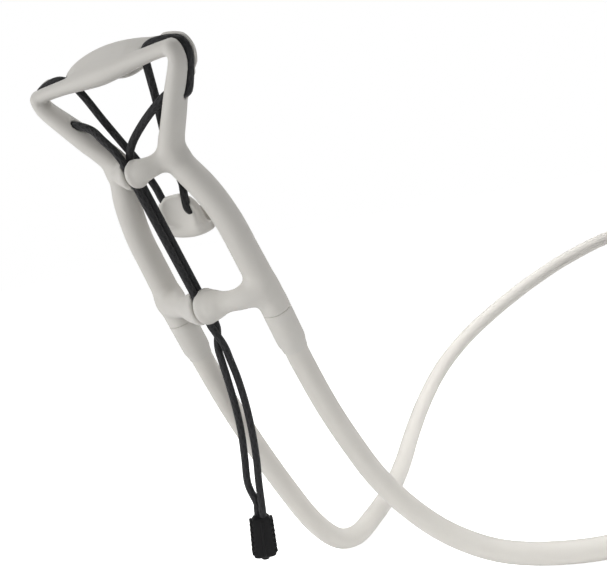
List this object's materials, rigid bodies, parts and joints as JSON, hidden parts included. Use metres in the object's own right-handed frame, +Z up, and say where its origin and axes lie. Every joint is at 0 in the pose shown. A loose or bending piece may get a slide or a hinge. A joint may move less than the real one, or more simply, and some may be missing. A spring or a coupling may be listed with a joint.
{
  "type": "phone holder",
  "caption": "Neck-worn holder: a soft frame with a hook and a cup on a drawcord clamps a flat slab, carried by a bendable neck loop.",
  "frame": {"origin": "centre of the footprint of the holder as it stands on a table, at the ground", "axes": "+Z up, +Y from the head towards the rear of the neck loop, +X to the right of someone who looks along +Y at the head's clamping cord side"},
  "size_m": [0.3263, 0.6121, 0.2666],
  "materials": {
    "soft_moulding": "satin",
    "soft_sleeve": "satin",
    "soft_tube": "satin",
    "core": "satin",
    "cord": "woven",
    "grip": "satin"
  },
  "bodies": {
    "frame": {"holder_frame": "soft_moulding", "left_sleeve": "soft_sleeve", "right_sleeve": "soft_sleeve", "neck_tube": "soft_tube", "neck_core": "core", "left_drawcord": "cord", "right_drawcord": "cord"},
    "cup": {"lower_cup": "soft_moulding", "left_cup_strand": "cord", "right_cup_strand": "cord"},
    "grip": {"grip_body": "grip", "grip_plug": "grip", "cord_knot": "cord", "left_pull_strand": "cord", "right_pull_strand": "cord"}
  },
  "joints": [
    {"name": "cup_draw", "type": "slide", "parent": "frame", "child": "cup", "axis": [0, -0.3746, 0.9272], "range_m": [-0.008, 0.01], "deforming": ["left_cup_strand", "right_cup_strand"]},
    {"name": "grip_pull", "type": "slide", "parent": "frame", "child": "grip", "axis": [0, 0, -1], "range_m": [-0.008, 0.01], "deforming": ["left_pull_strand", "right_pull_strand"]}
  ],
  "couplings": [
    {"joint": "grip_pull", "follows": "cup_draw", "ratio": 1}
  ]
}
